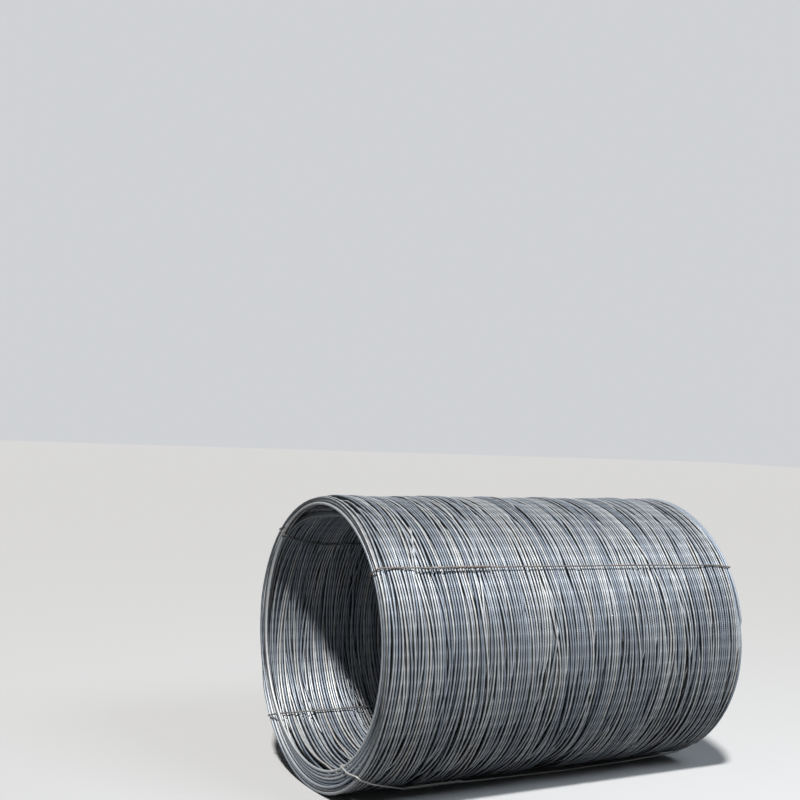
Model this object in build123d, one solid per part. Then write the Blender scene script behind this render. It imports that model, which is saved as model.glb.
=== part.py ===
from build123d import *
import os
from dataclasses import dataclass
from math import ceil, cos, pi, radians, sin

# Driving dimensions of the wound coil, in millimetres. It lies on its side with its axis along X.
coil_diameter = 1250.0
coil_length = 1860.0
rod_diameter = 12.0
layers = 6

# Each binding tie is one length of soft wire, bent round the coil's wall and twisted shut outside.
tie_diameter = 6.5
tie_clearance = 0.3
bed_side_room = 2.5
knot_length = 240.0
twist_pitch = 40.0
tip_length = 18.0
tip_rise = 0.4

# How finely round shapes are cut into flat sides and straight steps.
rod_sides = 6
tie_sides = 6
bend_steps = 4
twist_steps = 8
wrap_step_degrees = 3.0


@dataclass
class Tie:
    """A tie's route. Angles are in degrees about the coil's axis, from the -Y side upwards.

    The wire runs through the eye at eye_angle, and over the rims at near_angle and far_angle.
    Its knot lies along the coil with its middle at knot_x. The places before and after the knot
    are (distance along the axis, angle, lift off the turns), and only a slack tie needs them.
    """

    eye_angle: float
    near_angle: float
    far_angle: float
    knot_x: float
    knot_angle: float
    knot_lift: float = 0.0
    before_knot: tuple = ()
    after_knot: tuple = ()


ties = {
    "tie_front_upper": Tie(eye_angle=36.0, near_angle=36.5, far_angle=34.0, knot_x=-600.0, knot_angle=35.9),
    "tie_back_upper": Tie(
        eye_angle=135.0, near_angle=135.0, far_angle=135.0, knot_x=-580.0, knot_angle=135.0
    ),
    "tie_back_lower": Tie(
        eye_angle=-133.0, near_angle=-136.0, far_angle=-136.0, knot_x=-590.0, knot_angle=-136.0
    ),
    "tie_front_lower": Tie(
        eye_angle=-60.0,
        near_angle=-49.0,
        far_angle=-68.0,
        knot_x=-490.0,
        knot_angle=-69.5,
        knot_lift=8.0,
        before_knot=((-800.0, -54.0, 6.0), (-700.0, -62.0, 7.0)),
        after_knot=((-150.0, -71.5, 12.0), (250.0, -72.5, 18.0), (600.0, -70.5, 14.0)),
    ),
}

# Sizes that follow. A turn that shows on an end is half of a rod with few sides.
coil_radius = coil_diameter / 2
wall = layers * rod_diameter
eye_radius = coil_radius - wall
ridge_height = rod_diameter / 2 * cos(pi / rod_sides)
body_length = coil_length - 2 * ridge_height
tie_offset = tie_clearance + tie_diameter / 2
bend_radius = rod_diameter / 2 + tie_offset
tie_end_x = body_length / 2 + bend_radius
tie_eye_radius = eye_radius + rod_diameter - tie_offset
tie_outer_radius = coil_radius + tie_offset
twist_radius = (tie_diameter + tie_clearance) / 2 / cos(pi / twist_steps)


def around(angle):
    """The turn about the coil's axis that brings the -Y side to this angle."""
    return Rot(X=-angle)


def place(x, radius, angle):
    """A point at a distance along the axis, a radius and an angle."""
    return (around(angle) * Pos(x, -radius, 0)).position


def wound_rod():
    """All the rod's turns as one turned wall round the eye, with the last turns standing on its ends."""
    middle = Pos(0, coil_radius - wall / 2)
    section = middle * Rectangle(body_length, wall)
    turn = RegularPolygon(rod_diameter / 2, rod_sides, rotation=180 / rod_sides)
    section += [middle * spot * turn for spot in GridLocations(body_length, rod_diameter, 2, layers)]
    coil = revolve(section, axis=Axis.X)
    for tie in ties.values():
        coil -= around(tie.eye_angle) * tie_bed()
    return coil


def tie_bed():
    """The gap in the innermost layer where a tie runs through the eye, on the -Y side."""
    bed = Box(coil_length + rod_diameter, 2 * rod_diameter, tie_diameter + 2 * bed_side_room)
    return Pos(0, -eye_radius, 0) * bed


def laid(places):
    """Points through these places on the flank, close enough together to clear its curve."""
    points = [place(places[0][0], tie_outer_radius + places[0][2], places[0][1])]
    for start, end in zip(places, places[1:]):
        steps = ceil(abs(end[1] - start[1]) / wrap_step_degrees) or 1
        for step in range(1, steps + 1):
            x, angle, lift = (a + (b - a) * step / steps for a, b in zip(start, end))
            points.append(place(x, tie_outer_radius + lift, angle))
    return points


def twisted_strand(start, end, outward):
    """One of a knot's two strands: its points from start to end, then its cut tip."""
    along = (end - start).normalized()
    across = along.cross(outward)
    turns = int(knot_length / twist_pitch) + 0.5
    steps = round(turns * twist_steps)
    points = []
    for step in range(steps + 1):
        angle = 2 * pi * turns * step / steps
        swing = across * sin(angle) + outward * (1 - cos(angle))
        points.append(start + (end - start) * (step / steps) + swing * twist_radius)
    tip = points[-1] + (along + outward * tip_rise) * tip_length
    return points + [tip]


def tie_points(tie):
    """A tie from one cut tip to the other: strand, near rim, eye, far rim, strand."""
    knot_start = (tie.knot_x - knot_length / 2, tie.knot_angle, tie.knot_lift)
    knot_end = (tie.knot_x + knot_length / 2, tie.knot_angle, tie.knot_lift)
    near_run = laid([knot_start, *tie.before_knot[::-1], (-tie_end_x, tie.near_angle, 0.0)])
    far_run = laid([(tie_end_x, tie.far_angle, 0.0), *tie.after_knot[::-1], knot_end])
    through_eye = [place(x, tie_eye_radius, tie.eye_angle) for x in (-tie_end_x, tie_end_x)]
    loop = FilletPolyline(*near_run[-2:], *through_eye, *far_run[:2], radius=bend_radius)
    bends = [edge for edge in loop.edges() if edge.geom_type == GeomType.CIRCLE]
    fractions = [step / bend_steps for step in range(bend_steps + 1)]
    rounded = [point for bend in bends for point in bend.positions(fractions)]
    outward = place(0, 1, tie.knot_angle)
    near_strand = twisted_strand(near_run[0], far_run[-1], outward)
    far_strand = twisted_strand(far_run[-1], near_run[0], outward)
    return near_strand[:0:-1] + near_run[:-1] + rounded + far_run[1:] + far_strand[1:]


def binding_tie(tie):
    """One tie: its section swept along its whole path, with mitred joints."""
    path = Polyline(*tie_points(tie))
    section = Plane(path @ 0, z_dir=path % 0) * RegularPolygon(tie_diameter / 2, tie_sides)
    return sweep(section, path=path, transition=Transition.RIGHT)


os.makedirs("parts", exist_ok=True)
lift_to_floor = Pos(0, 0, coil_radius)
export_step(lift_to_floor * wound_rod(), "parts/wire_rod.step")
for name, tie in ties.items():
    export_step(lift_to_floor * binding_tie(tie), f"parts/{name}.step")
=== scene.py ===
import math

import bpy
import numpy as np
from mathutils import Matrix, Vector


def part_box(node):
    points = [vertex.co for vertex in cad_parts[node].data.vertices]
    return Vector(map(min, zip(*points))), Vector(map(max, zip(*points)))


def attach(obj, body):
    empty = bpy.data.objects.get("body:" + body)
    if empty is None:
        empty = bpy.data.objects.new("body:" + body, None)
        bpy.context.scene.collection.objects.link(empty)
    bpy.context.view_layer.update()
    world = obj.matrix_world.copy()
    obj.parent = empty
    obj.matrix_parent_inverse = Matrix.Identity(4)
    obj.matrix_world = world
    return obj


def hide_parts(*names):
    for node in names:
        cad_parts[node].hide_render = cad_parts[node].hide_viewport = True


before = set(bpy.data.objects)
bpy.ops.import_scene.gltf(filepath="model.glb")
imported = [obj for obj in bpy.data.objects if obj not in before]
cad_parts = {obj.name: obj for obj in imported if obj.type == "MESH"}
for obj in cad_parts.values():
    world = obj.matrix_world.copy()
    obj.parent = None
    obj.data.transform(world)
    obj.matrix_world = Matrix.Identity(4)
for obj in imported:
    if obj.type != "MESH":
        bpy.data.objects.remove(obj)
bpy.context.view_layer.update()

# The rod: one length of hot rolled, ribbed steel, 12 mm thick, that the mill's laying head drops
# in loose turns. A turn lies outside in the wall on one side of the coil and inside on the other,
# and the next turns lie a little further round, so each shows on a stretch and then dives under.
coil_low, coil_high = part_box("wire_rod")
coil_length = coil_high.x - coil_low.x
coil_radius = (coil_high.z - coil_low.z) / 2
axis_height = (coil_high.z + coil_low.z) / 2
rod_diameter = 0.012
rod_sides = 8
rib_spacing = 0.008
turns = 540
steps_per_turn = 72
first_turn_angle = math.radians(135)
chance = np.random.default_rng(7)

turn = np.arange(turns * steps_per_turn + 1) / steps_per_turn
angle = first_turn_angle + 2 * math.pi * turn


def wander(spacing):
    """A smooth random line along the rod, with a new value about every so many turns."""
    knots = chance.normal(size=int(turns / spacing) + 4)
    place = turn / spacing
    knot = place.astype(int)
    ease = (place - knot) ** 2 * (3 - 2 * (place - knot))
    return knots[knot] * (1 - ease) + knots[knot + 1] * ease


def fade(value, low, high):
    """0 below low, 1 above high, and a smooth step between."""
    share = np.clip((value - low) / (high - low), 0, 1)
    return share * share * (3 - 2 * share)


def turned_from(degrees):
    """How far round from here each point lies, in radians, up to half a turn either way."""
    return np.mod(angle - math.radians(degrees) + math.pi, 2 * math.pi) - math.pi


# Lengthwise the turns lie evenly, apart from the near end's six nested rings, which stand further
# apart at the top than below. The turns after them take up the difference, up to the 70th.
nested_turns = 6
evened_out = 70
nested_pitch_below = 0.0035
nested_pitch_more = 0.0042
end_x = coil_length / 2 - rod_diameter / 2
pitch = (coil_length - rod_diameter) / turns
nested_pitch = nested_pitch_below + nested_pitch_more * (1 + np.sin(angle))
even_x = -end_x + pitch * turn
moved_on = (nested_pitch - pitch) * np.minimum(turn, nested_turns)
even_x += moved_on * (1 - fade(turn, nested_turns, evened_out))

# The wall is thinner at the top and heaped at the bottom, because the loose turns sag. Its
# outside is a little uneven, and it is drawn in under the upper front tie.
wall_mean = 0.064
wall_sag = 0.008
heap_height = 0.030
heap_reach = 0.61
loose_turns = 13
loose_wall = 0.105
uneven_depth = 0.009
drawn_in_depth = 0.012
drawn_in_angle = math.radians(36)
drawn_in_reach = 0.35
drawn_in_end = 0.85
drawn_in_run_out = 0.15
long_waves = np.sin(even_x * 19 + 1.5 * np.sin(even_x * 7))
short_waves = np.sin(even_x * 43 + angle)
hollow = 0.5 + 0.25 * long_waves + 0.25 * short_waves
uneven = uneven_depth * hollow * fade(np.sin(angle), -0.3, 0.9)
from_tie = (np.mod(angle, 2 * math.pi) - drawn_in_angle) / drawn_in_reach
under_tie = np.exp(-(from_tie**2)) * fade(drawn_in_end - np.abs(even_x), 0, drawn_in_run_out)
dip = np.maximum(uneven, drawn_in_depth * under_tie)
outermost = coil_radius - rod_diameter / 2 - dip
heap = heap_height * np.exp(-((turned_from(-90) / heap_reach) ** 2))
wall = np.where(turn < loose_turns, loose_wall, wall_mean - wall_sag * np.sin(angle) + heap)
innermost = coil_radius - wall + rod_diameter / 2

# Height is 1 on the outside of the wall and -1 on its inside. The angle at which the turns come
# to the outside creeps once round the coil in about 26 turns. A turn's crest has to pass its own
# threshold before it comes up, and then it comes up quickly.
turns_round = 26
threshold_mean = 0.80
threshold_change = 0.13
coming_up = 0.06
creep = 2 * math.pi / turns_round * (1 + 0.9 * wander(17))
outside_angle = np.cumsum(creep) / steps_per_turn + 0.3 * wander(3)
crest = np.cos(angle - outside_angle)
threshold = np.clip(threshold_mean + threshold_change * wander(4), 0.5, 1.1)
middle = 0.5 * np.minimum(np.abs(crest) / threshold, 1)
risen = fade(np.abs(crest), threshold - coming_up, threshold + coming_up)
height = np.sign(crest) * (middle + (1 - middle) * risen)
height -= 0.05 * np.abs(wander(3))
radius = (outermost + innermost) / 2 + (outermost - innermost) / 2 * height

# At the near end the nested rings lie close together at the top and well apart at the bottom,
# and the next six turns hang down from the top, each a little less than the one before.
nested_outermost = 0.619
nested_depth = 0.061
nested_depth_change = 0.035
hanging_outermost = 0.614
hanging_depth = 0.066
hanging_angle = 97
hanging_reach = 0.5
sideways_drift = 0.009
sideways_shake = 0.001
nested = 1 - np.clip(turn / nested_turns, 0, 1)
nested_radius = nested_outermost - nested * (nested_depth - nested_depth_change * np.sin(angle))
hang = hanging_depth * np.exp(-((turned_from(hanging_angle) / hanging_reach) ** 2))
hanging_radius = hanging_outermost - hang * (1 - 0.05 * (turn - nested_turns))
radius = radius + (1 - fade(turn, 12, 14)) * (hanging_radius - radius)
radius = radius + (1 - fade(turn, 5.6, 6.4)) * (nested_radius - radius)
along_x = even_x + sideways_drift * wander(7) + sideways_shake * wander(2)

# Turns can't pass through each other. Pairs that lie too close are pushed apart a little at a
# time, and the push is spread along the rod, because the rod is stiff: first gently over long
# stretches with room to spare at the sides, then firmly over short ones until they only touch.
turns_in_reach = 33
never_quite_zero = 1e-6
for rounds, side_room, height_room, stretch_steps, ease_off, pull_back in (
    (150, 0.0168, 0.0118, 33, 2.1, 0.004),
    (120, 0.0121, 0.0121, 21, 2.1, 0.0),
    (30, 0.0121, 0.0121, 11, 1.6, 0.0),
):
    spread = np.hanning(stretch_steps)
    spread /= spread.sum()
    for _ in range(rounds):
        push_x = np.zeros(len(turn))
        push_r = np.zeros(len(turn))
        touches = np.zeros(len(turn))
        for apart in range(steps_per_turn, turns_in_reach * steps_per_turn, steps_per_turn):
            gap_x = along_x[apart:] - along_x[:-apart]
            gap_r = radius[apart:] - radius[:-apart]
            gap = np.sqrt((gap_x / side_room) ** 2 + (gap_r / height_room) ** 2)
            gap += never_quite_zero
            share = np.maximum(1 - gap, 0) / gap / 2
            push_x[apart:] += share * gap_x
            push_x[:-apart] -= share * gap_x
            push_r[apart:] += share * gap_r
            push_r[:-apart] -= share * gap_r
            touches[apart:] += share > 0
            touches[:-apart] += share > 0
        ease = ease_off / np.maximum(touches, 1)
        along_x += np.convolve(push_x * ease, spread, "same") + pull_back * (even_x - along_x)
        radius += np.convolve(push_r * ease, spread, "same")
        radius = np.clip(radius, innermost, outermost)
        along_x = np.clip(along_x, -end_x, end_x)
rod_points = np.stack(
    [along_x, -radius * np.cos(angle), axis_height + radius * np.sin(angle)], axis=1
)

# Painted shade: a turn's sides are darkened in its colour where its neighbours would shut the
# light out, but less so where the rings stand apart and on the last turns.
painted_shade_least = 0.35
rings_close = fade(np.sin(angle), -0.75, -0.35) * fade(turn, 0.5, 2)
side_by_side = np.maximum(fade(turn, 5.5, 8), rings_close)
last_turns = fade(turn, turns - 8, turns - 3)
shut_in = painted_shade_least + (1 - painted_shade_least) * side_by_side * (1 - last_turns)


class Socket:
    """A node tree and one of its values, which Python's arithmetic can be used on."""

    def __init__(self, tree, socket=None):
        self.tree, self.socket = tree, socket

    def node(self, kind, settings=None, inputs=None, output=0):
        """Any node: its settings first, then the values or links of its sockets."""
        made = self.tree.nodes.new(kind)
        for name, value in (settings or {}).items():
            if name == "stops":
                stops = made.color_ramp.elements
                while len(stops) < len(value):
                    stops.new(0.5)
                for stop, (position, colour) in zip(stops, value):
                    stop.position, stop.color = position, colour
            else:
                setattr(made, name, value)
        for name, value in (inputs or {}).items():
            if isinstance(value, Socket):
                self.tree.links.new(value.socket, made.inputs[name])
            else:
                made.inputs[name].default_value = value
        return Socket(self.tree, made.outputs[output])

    def math(self, operation, *values):
        """This value and up to two more through one Math node."""
        inputs = dict(enumerate((self,) + values))
        return self.node("ShaderNodeMath", {"operation": operation}, inputs)

    def __add__(self, other):
        return self.math("ADD", other)

    def __sub__(self, other):
        return self.math("SUBTRACT", other)

    def __rsub__(self, other):
        return self.math("MULTIPLY_ADD", -1.0, other)

    def __mul__(self, other):
        return self.math("MULTIPLY", other)

    __radd__ = __add__
    __rmul__ = __mul__


def new_material(name, finish):
    """A material whose Principled shader has the values and links that this finish gives."""
    material = bpy.data.materials.new(name)
    material.use_nodes = True
    shader = material.node_tree.nodes["Principled BSDF"]
    for socket, value in finish(Socket(material.node_tree)).items():
        if isinstance(value, Socket):
            material.node_tree.links.new(value.socket, shader.inputs[socket])
        else:
            shader.inputs[socket].default_value = value
    return material


def mill_scale(nodes):
    """Blue-grey mill scale with a satin sheen, over crescent ribs that slant across the rod, with
    painted shade on the sides of the turns.
    """
    where = nodes.node("ShaderNodeTexCoord", output=3)
    along = nodes.node("ShaderNodeAttribute", {"attribute_name": "along"}, output=2)
    stretch = nodes.node(
        "ShaderNodeTexNoise",
        {"noise_dimensions": "1D"},
        {"W": along * 0.45, "Scale": 1.0, "Detail": 2.0},
    )
    patch = nodes.node("ShaderNodeTexNoise", None, {"Vector": where, "Scale": 7.0, "Detail": 1.0})
    grain = nodes.node(
        "ShaderNodeTexNoise", None, {"Vector": where, "Scale": 220.0, "Detail": 3.0}
    )
    scale_colours = [
        (0.30, (0.165, 0.202, 0.256, 1)),
        (0.46, (0.278, 0.318, 0.370, 1)),
        (0.60, (0.492, 0.518, 0.540, 1)),
        (0.74, (0.460, 0.458, 0.452, 1)),
    ]
    tone = stretch * 0.9 + patch * 0.1
    scale = nodes.node("ShaderNodeValToRGB", {"stops": scale_colours}, {"Fac": tone})

    # Painted shade: only the crown of a turn, furthest out or in, keeps its full colour, as if
    # only it saw the light past its neighbours; its sides are darkened.
    centre = nodes.node("ShaderNodeAttribute", {"attribute_name": "distance"}, output=2)
    painted_shade_amount = nodes.node("ShaderNodeAttribute", {"attribute_name": "shut_in"}, output=2)
    back = nodes.node("ShaderNodeSeparateXYZ", None, {"Vector": where}, output=1)
    up = nodes.node("ShaderNodeSeparateXYZ", None, {"Vector": where}, output=2) - axis_height
    outside = ((back * back + up * up).math("SQRT") - centre) * (2 / rod_diameter)
    painted_shade_mask = (2.0 - outside.math("ABSOLUTE") * 1.96).math("MAXIMUM", 0.0).math("MINIMUM", 1.0)
    # The colour is multiplied by this painted shade, down to 6 % on the sides of crowded turns.
    light = 1 - 0.94 * painted_shade_amount * painted_shade_mask
    shade = nodes.node("ShaderNodeCombineColor", None, {0: light, 1: light, 2: light})
    colour = nodes.node(
        "ShaderNodeMix",
        {"data_type": "RGBA", "blend_type": "MULTIPLY"},
        {0: 1.0, 6: scale, 7: shade},
        output=2,
    )

    # Two rows of ribs, one on either side of the rod, with a plain seam between them.
    around = nodes.node("ShaderNodeAttribute", {"attribute_name": "around"}, output=1)
    side = nodes.node("ShaderNodeSeparateXYZ", None, {"Vector": around}, output=0)
    rise = nodes.node("ShaderNodeSeparateXYZ", None, {"Vector": around}, output=1)
    slant = rise * 2.2 + side.math("SIGN") * 1.3
    rib_waves = (along * (2 * math.pi / rib_spacing) + slant).math("COSINE")
    rib = rib_waves.math("MULTIPLY_ADD", 1.4, -0.6).math("MAXIMUM", 0.0)
    flank = side.math("ABSOLUTE").math("MULTIPLY_ADD", 1.6, -0.2).math("MAXIMUM", 0.0)
    relief = rib * flank * 0.6 + grain * 0.08
    bump = nodes.node(
        "ShaderNodeBump", None, {"Strength": 0.9, "Distance": 0.001, "Height": relief}
    )
    return {
        "Base Color": colour,
        "Metallic": 0.36,
        "Specular IOR Level": 0.5,
        "Roughness": 0.38 + 0.12 * patch,
        "Normal": bump,
    }


def wire_sweep(name, material):
    """Geometry nodes that sweep a round section along a path, and note the way out round it."""
    tree = bpy.data.node_groups.new(name, "GeometryNodeTree")
    tree.interface.new_socket("Path", in_out="INPUT", socket_type="NodeSocketGeometry")
    tree.interface.new_socket("Wire diameter", in_out="INPUT", socket_type="NodeSocketFloat")
    tree.interface.new_socket("Sides", in_out="INPUT", socket_type="NodeSocketInt")
    tree.interface.new_socket("Wire", in_out="OUTPUT", socket_type="NodeSocketGeometry")
    given = tree.nodes.new("NodeGroupInput")
    path, diameter, sides = (Socket(tree, given.outputs[place]) for place in range(3))
    line = path.node("GeometryNodeMeshToCurve", None, {"Mesh": path})
    section = path.node(
        "GeometryNodeCurvePrimitiveCircle", None, {"Resolution": sides, "Radius": diameter * 0.5}
    )
    place = path.node("GeometryNodeInputPosition")
    outward = path.node("ShaderNodeVectorMath", {"operation": "NORMALIZE"}, {0: place})
    section = path.node(
        "GeometryNodeStoreNamedAttribute",
        {"data_type": "FLOAT_VECTOR", "domain": "POINT"},
        {"Geometry": section, "Name": "around", "Value": outward},
    )
    wire = path.node(
        "GeometryNodeCurveToMesh",
        None,
        {"Curve": line, "Profile Curve": section, "Fill Caps": True},
    )
    wire = path.node("GeometryNodeRealizeInstances", None, {"Geometry": wire})
    wire = path.node("GeometryNodeSetMaterial", None, {"Geometry": wire, "Material": material})
    tree.links.new(wire.socket, tree.nodes.new("NodeGroupOutput").inputs["Wire"])
    return tree


def in_scene(name, data):
    """A new object in the scene that shows this mesh, lamp or camera."""
    made = bpy.data.objects.new(name, data)
    bpy.context.scene.collection.objects.link(made)
    return made


def swept(name, points, tree, diameter, sides, noted):
    """A piece of wire along these points, as a plain mesh, with what is noted at each point."""
    path = bpy.data.meshes.new(name + "_path")
    edges = np.stack([np.arange(len(points) - 1), np.arange(1, len(points))], axis=1)
    path.from_pydata(points.tolist(), edges.tolist(), [])
    lengths = np.linalg.norm(np.diff(points, axis=0), axis=1)
    noted = {"along": np.concatenate([[0], np.cumsum(lengths)]), **noted}
    for note, values in noted.items():
        attribute = path.attributes.new(note, "FLOAT", "POINT")
        attribute.data.foreach_set("value", values.astype(np.float32))
    wire = in_scene(name, path)
    modifier = wire.modifiers.new("sweep", "NODES")
    modifier.node_group = tree
    sizes = {"Wire diameter": diameter, "Sides": sides}
    for item in tree.interface.items_tree:
        if item.name in sizes:
            modifier[item.identifier] = sizes[item.name]
    bpy.context.view_layer.update()
    finished = wire.evaluated_get(bpy.context.evaluated_depsgraph_get())
    mesh = bpy.data.meshes.new_from_object(finished)
    wire.modifiers.clear()
    wire.data = mesh
    mesh.name = name
    mesh.polygons.foreach_set("use_smooth", np.ones(len(mesh.polygons), bool))
    return wire


# The rod is too long for one mesh, so it is cut into stretches that join end to end.
rod_sweep = wire_sweep("rod_sweep", new_material("mill_scale", mill_scale))
stretches = 5
stretch_points = turns * steps_per_turn // stretches
for stretch in range(stretches):
    first = stretch * stretch_points
    part = slice(first, first + stretch_points + 1)
    # Each point carries how far out it lies and how much painted shade its sides get.
    noted = {"distance": radius[part], "shut_in": shut_in[part]}
    name = f"rod_stretch_{stretch + 1}"
    piece = swept(name, rod_points[part], rod_sweep, rod_diameter, rod_sides, noted)
    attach(piece, "root")
    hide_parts("wire_rod")

# The ties: four lengths of plain soft wire, each bent round the coil's wall through the eye and
# drawn tight, except for the slack lower front one. A tie's two ends are twisted together on the
# outside. A place on a tie is its x, its angle up from the front and its distance from the axis.
tie_diameter = 0.0065
tie_sides = 8
twist_pitch = 0.036
steps_per_twist = 16
strand_gap = 0.0002
tip_length = 0.018
first_tip_lift = 0.007
last_tip_lift = 0.006
bend_points = 7
tie_end_x = 0.934
on_flank = 0.6285
knot_on_flank = 0.6325
in_eye = 0.5605


def bent_path(corners, room):
    """Straight stretches between these corners, each corner rounded over this much room."""
    points = [corners[0]]
    for before, corner, after in zip(corners, corners[1:], corners[2:]):
        back, on = before - corner, after - corner
        start = corner + back * min(room / np.linalg.norm(back), 0.5)
        end = corner + on * min(room / np.linalg.norm(on), 0.5)
        for t in np.linspace(0, 1, bend_points):
            points.append((1 - t) ** 2 * start + 2 * t * (1 - t) * corner + t * t * end)
    return np.array(points + [corners[-1]])


def spot(x, degrees, distance):
    """Where a place on a tie is in the scene."""
    turned = math.radians(degrees)
    return np.array([x, -distance * math.cos(turned), axis_height + distance * math.sin(turned)])


def tie(name, rust, knot, near_side, eye, far_side, bend_room):
    """A tie from one cut tip to the other: knot, near rim, eye, far rim, knot."""
    knot_from, knot_to, knot_degrees, knot_distance = knot
    centre_from = spot(knot_from, knot_degrees, knot_distance)
    centre_to = spot(knot_to, knot_degrees, knot_distance)
    steps = round((knot_to - knot_from) / twist_pitch * steps_per_twist)
    share = np.linspace(0, 1, steps + 1)[:, None]
    centre = centre_from + (centre_to - centre_from) * share
    outward = spot(0, knot_degrees, 1) - spot(0, knot_degrees, 0)
    across = np.cross([1, 0, 0], outward)
    twist = 2 * math.pi * (knot_to - knot_from) / twist_pitch * share
    swing = (across * np.sin(twist) + outward * np.cos(twist)) * (tie_diameter / 2 + strand_gap)
    tip = np.array([tip_length, 0, 0])
    first_tip = centre[-1] + swing[-1] + tip + outward * first_tip_lift
    last_tip = centre[0] - swing[0] - tip + outward * last_tip_lift
    first_strand = (centre + swing)[::-1]
    last_strand = (centre - swing)[::-1]
    loop = [spot(*place) for place in near_side + eye + far_side]
    loop = bent_path([first_strand[-1], *loop, last_strand[0]], bend_room)
    points = np.vstack([first_tip, first_strand[:-1], loop, last_strand[1:], last_tip])
    noted = {"rust": np.full(len(points), rust)}
    piece = swept(name + "_wire", points, tie_sweep, tie_diameter, tie_sides, noted)
    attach(piece, "root")
    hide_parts(name)


def rusty_wire(nodes):
    """Drawn wire gone brown in the rain, with a grey stretch left here and there."""
    where = nodes.node("ShaderNodeTexCoord", output=3)
    along = nodes.node("ShaderNodeAttribute", {"attribute_name": "along"}, output=2)
    rust = nodes.node("ShaderNodeAttribute", {"attribute_name": "rust"}, output=2)
    stretch = nodes.node(
        "ShaderNodeTexNoise",
        {"noise_dimensions": "1D"},
        {"W": along * 3.0, "Scale": 1.0, "Detail": 3.0},
    )
    speck = nodes.node(
        "ShaderNodeTexNoise", None, {"Vector": where, "Scale": 150.0, "Detail": 3.0}
    )
    rust_colours = [
        (0.28, (0.400, 0.400, 0.390, 1)),
        (0.42, (0.095, 0.092, 0.092, 1)),
        (0.58, (0.150, 0.118, 0.105, 1)),
        (0.74, (0.165, 0.102, 0.080, 1)),
        (0.90, (0.080, 0.040, 0.030, 1)),
    ]
    tone = stretch * 0.6 + speck * 0.2 + rust * 0.45 - 0.12
    colour = nodes.node("ShaderNodeValToRGB", {"stops": rust_colours}, {"Fac": tone})
    bump = nodes.node(
        "ShaderNodeBump", None, {"Strength": 0.4, "Distance": 0.0006, "Height": speck}
    )
    return {"Base Color": colour, "Metallic": 0.25, "Roughness": 0.55, "Normal": bump}


tie_sweep = wire_sweep("tie_sweep", new_material("rusty_wire", rusty_wire))
tie(
    "tie_front_upper",
    rust=0.5,
    knot=(-0.72, -0.43, 35.8, knot_on_flank),
    near_side=[(-0.83, 36.5, 0.629), (-0.924, 36.6, 0.6275), (-tie_end_x, 36.4, 0.616)],
    eye=[(-tie_end_x, 37.4, in_eye), (-0.80, 36.2, in_eye), (tie_end_x, 36.0, in_eye)],
    far_side=[
        (tie_end_x, 33.0, on_flank),
        (0.84, 34.2, on_flank),
        (0.39, 35.0, on_flank),
        (-0.05, 35.5, on_flank),
    ],
    bend_room=0.014,
)
tie(
    "tie_back_upper",
    rust=0.25,
    knot=(-0.70, -0.46, 135.0, knot_on_flank),
    near_side=[(-0.90, 135.0, on_flank), (-0.931, 135.0, 0.6225)],
    eye=[
        (-0.935, 132.5, 0.5660),
        (-0.875, 135.0, 0.5615),
        (-0.80, 138.0, 0.5615),
        (-0.70, 139.5, 0.5615),
        (tie_end_x, 136.0, in_eye),
    ],
    far_side=[(tie_end_x, 135.0, on_flank)],
    bend_room=0.014,
)
tie(
    "tie_back_lower",
    rust=0.3,
    knot=(-0.71, -0.47, -136.0, knot_on_flank),
    near_side=[(-tie_end_x, -138.3, on_flank)],
    eye=[(-tie_end_x, -133.6, 0.535), (tie_end_x, -132.0, 0.540)],
    far_side=[(tie_end_x, -136.0, on_flank)],
    bend_room=0.014,
)
tie(
    "tie_front_lower",
    rust=-0.1,
    knot=(-0.62, -0.35, -65.5, 0.637),
    near_side=[
        (-0.67, -62.5, 0.637),
        (-0.76, -57.2, 0.636),
        (-0.85, -52.3, 0.636),
        (-0.92, -48.6, 0.631),
        (-0.936, -47.6, 0.620),
    ],
    eye=[
        (-0.936, -54.0, 0.575),
        (-0.932, -60.0, 0.5235),
        (-0.80, -60.5, 0.531),
        (tie_end_x, -60.0, 0.535),
    ],
    far_side=[
        (tie_end_x, -68.0, on_flank),
        (0.60, -70.5, 0.641),
        (0.25, -72.0, 0.645),
        (-0.15, -69.6, 0.641),
    ],
    bend_room=0.016,
)

# The floor: a plain, dull sheet, wide enough to run out of the picture on every side. It looks
# pale, but it throws little light back up, so that the coil's belly stays dark.
floor_reach = 60.0
floor_tone = 0.42
floor_thrown_up = 0.05
floor_mesh = bpy.data.meshes.new("floor")
floor_corners = [(-1, -1), (1, -1), (1, 1), (-1, 1)]
floor_mesh.from_pydata(
    [(floor_reach * x, floor_reach * y, 0) for x, y in floor_corners], [], [(0, 1, 2, 3)]
)
floor = in_scene("floor", floor_mesh)


def in_sight(nodes):
    """1 for what the camera sees, also in a reflection or through glass, 0 for scattered light."""
    rays = [nodes.node("ShaderNodeLightPath", output=place) for place in (0, 3, 6)]
    return rays[0].math("MAXIMUM", rays[1]).math("MAXIMUM", rays[2])


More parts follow.
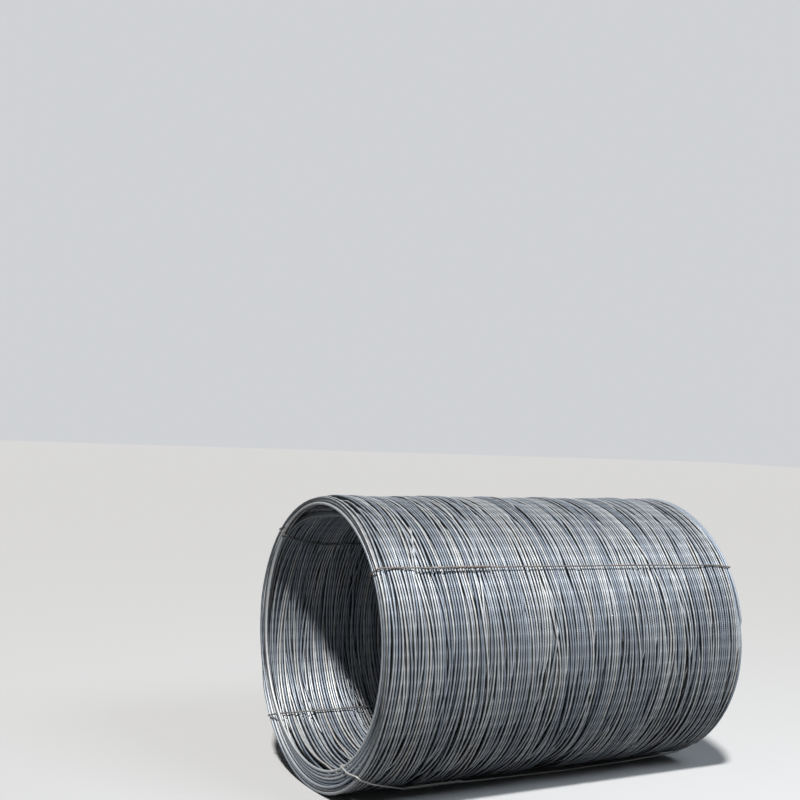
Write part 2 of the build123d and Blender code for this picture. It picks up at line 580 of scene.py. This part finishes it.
def plain_floor(nodes):
    """Matt and pale, with a very slight blue."""
    pale = in_sight(nodes) * (floor_tone - floor_thrown_up) + floor_thrown_up
    colour = nodes.node(
        "ShaderNodeCombineColor", None, {0: pale * 0.965, 1: pale * 0.98, 2: pale}
    )
    return {"Base Color": colour, "Roughness": 0.9}


floor_mesh.materials.append(new_material("floor", plain_floor))

# The light: a nearly neutral key lamp, high up behind the camera and a little to its left, with
# soft edges to its shadows. A cool, broad lamp above on the camera's right fills the shadows,
# and a pale room stands behind it all.
room_tone = 0.70
room_light = 0.02


def aimed(place, direction):
    """How a lamp or camera at this place is turned, to face this way with its top upwards."""
    turned = Vector(direction).to_track_quat("-Z", "Y").to_matrix().to_4x4()
    return Matrix.Translation(place) @ turned


key_data = bpy.data.lights.new("key", "SUN")
key_data.energy = 6.2
key_data.color = (1.0, 0.975, 0.940)
key_data.angle = math.radians(5)
key = in_scene("key", key_data)
key.matrix_world = aimed((0, 0, 0), (0.365, 0.445, -0.817))
fill_data = bpy.data.lights.new("fill", "AREA")
fill_data.shape = "RECTANGLE"
fill_data.size = 2.6
fill_data.size_y = 1.6
fill_data.energy = 185
fill_data.color = (0.84, 0.92, 1.0)
fill = in_scene("fill", fill_data)
fill.matrix_world = aimed((1.1, -4.1, 4.4), (-1.0, 3.4, -3.5))
world = bpy.data.worlds.new("room")
bpy.context.scene.world = world
world.use_nodes = True
room = Socket(world.node_tree)
strength = in_sight(room) * (room_tone - room_light) + room_light
background = world.node_tree.nodes["Background"]
background.inputs["Color"].default_value = (0.90, 0.92, 0.95, 1)
world.node_tree.links.new(strength.socket, background.inputs["Strength"])

# The view: from eye height, in front of the coil and to the left of its near end, looking along
# and a little across it. The picture is slightly tilted, as held by hand.
camera_data = bpy.data.cameras.new("camera")
camera_data.lens = 54.0
camera_data.sensor_width = 36.0
camera = in_scene("camera", camera_data)
tilt = Matrix.Rotation(math.radians(2.435), 4, "Z")
camera.matrix_world = aimed((-3.2107, -4.6010, 1.5497), (0.49701, 0.86744, 0.02300)) @ tilt
bpy.context.scene.camera = camera
bpy.context.scene.view_settings.view_transform = "Standard"
